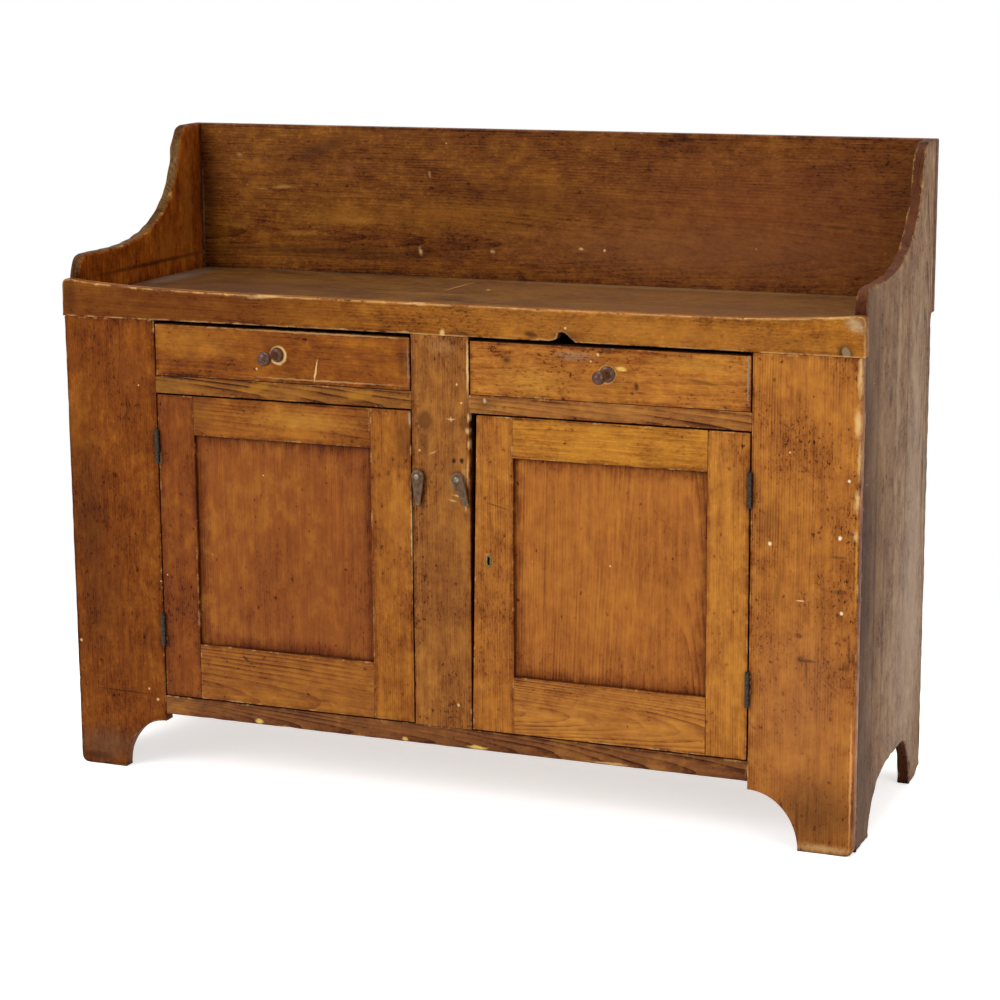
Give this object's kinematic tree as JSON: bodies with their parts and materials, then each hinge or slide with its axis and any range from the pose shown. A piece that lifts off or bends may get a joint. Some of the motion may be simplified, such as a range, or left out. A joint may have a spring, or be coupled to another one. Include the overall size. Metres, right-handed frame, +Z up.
{
  "type": "dry sink cabinet",
  "caption": "Pine dry sink: a shallow well with an S-curved gallery over drawers and panelled doors held shut by wooden turn buttons.",
  "frame": {"origin": "centre of the footprint box, on the floor", "axes": "+X to the right as you face the doors, the cabinet's length; +Y from the front to the back; +Z up"},
  "size_m": [1.27, 0.4924, 0.99],
  "materials": {
    "pine_front": "old varnish over worn honey-brown pine",
    "pine_panel": "old varnish over reddish brown pine",
    "pine_side": "dull grey-brown old varnish",
    "pine_gallery": "dark red-brown old varnish",
    "pine_deck": "dark worn varnish with a grey sheen",
    "pine_bare": "bare dry aged pine",
    "turned_wood": "dark handled hardwood",
    "iron": "dark oxidised iron",
    "brass": "tarnished brass"
  },
  "bodies": {
    "cabinet": {"left_side": "pine_side", "right_side": "pine_side", "deck_board": "pine_deck", "backsplash": "pine_gallery", "cupboard_floor": "pine_bare", "cupboard_shelf": "pine_bare", "back_board_1": "pine_bare", "back_board_2": "pine_bare", "back_board_3": "pine_bare", "top_rail": "pine_front", "left_stile": "pine_front", "right_stile": "pine_front", "centre_stile": "pine_front", "left_drawer_rail": "pine_front", "right_drawer_rail": "pine_front", "bottom_rail": "pine_front", "left_drawer_runner": "pine_bare", "right_drawer_runner": "pine_bare", "centre_drawer_runner": "pine_bare", "left_upper_hinge_frame_leaf": "iron", "left_upper_hinge_pin": "iron", "left_lower_hinge_frame_leaf": "iron", "left_lower_hinge_pin": "iron", "right_upper_hinge_frame_leaf": "iron", "right_upper_hinge_pin": "iron", "right_lower_hinge_frame_leaf": "iron", "right_lower_hinge_pin": "iron", "left_button_screw": "iron", "right_button_screw": "iron"},
    "left_door": {"left_door_hinge_stile": "pine_front", "left_door_latch_stile": "pine_front", "left_door_top_rail": "pine_front", "left_door_bottom_rail": "pine_front", "left_door_panel": "pine_panel", "left_upper_hinge_door_leaf": "iron", "left_lower_hinge_door_leaf": "iron"},
    "right_door": {"right_door_hinge_stile": "pine_front", "right_door_latch_stile": "pine_front", "right_door_top_rail": "pine_front", "right_door_bottom_rail": "pine_front", "right_door_panel": "pine_panel", "right_upper_hinge_door_leaf": "iron", "right_lower_hinge_door_leaf": "iron", "keyhole_liner": "brass", "lock_case": "iron"},
    "lock_bolt": {"lock_bolt": "iron"},
    "left_drawer": {"left_drawer_front": "pine_front", "left_drawer_left_side": "pine_bare", "left_drawer_right_side": "pine_bare", "left_drawer_back": "pine_bare", "left_drawer_bottom": "pine_bare", "left_drawer_knob": "turned_wood"},
    "right_drawer": {"right_drawer_front": "pine_front", "right_drawer_left_side": "pine_bare", "right_drawer_right_side": "pine_bare", "right_drawer_back": "pine_bare", "right_drawer_bottom": "pine_bare", "right_drawer_knob": "turned_wood"},
    "left_button": {"left_turn_button": "turned_wood"},
    "right_button": {"right_turn_button": "turned_wood"}
  },
  "joints": [
    {"name": "left_door_hinge", "type": "hinge", "parent": "cabinet", "child": "left_door", "pos_m": [-0.474, -0.19995, 0.367], "axis": [0, 0, -1], "range_deg": [0, 170]},
    {"name": "right_door_hinge", "type": "hinge", "parent": "cabinet", "child": "right_door", "pos_m": [0.474, -0.19995, 0.367], "axis": [0, 0, 1], "range_deg": [0, 170]},
    {"name": "left_drawer_slide", "type": "slide", "parent": "cabinet", "child": "left_drawer", "axis": [0, -1, 0], "range_m": [0, 0.3]},
    {"name": "right_drawer_slide", "type": "slide", "parent": "cabinet", "child": "right_drawer", "axis": [0, -1, 0], "range_m": [0, 0.3]},
    {"name": "left_button_turn", "type": "hinge", "parent": "cabinet", "child": "left_button", "pos_m": [-0.035, -0.20145, 0.51], "axis": [0, 1, 0], "continuous": true},
    {"name": "right_button_turn", "type": "hinge", "parent": "cabinet", "child": "right_button", "pos_m": [0.029, -0.20145, 0.51], "axis": [0, -1, 0], "continuous": true},
    {"name": "lock_bolt_slide", "type": "slide", "parent": "right_door", "child": "lock_bolt", "axis": [-1, 0, 0], "range_m": [0, 0.016]}
  ]
}
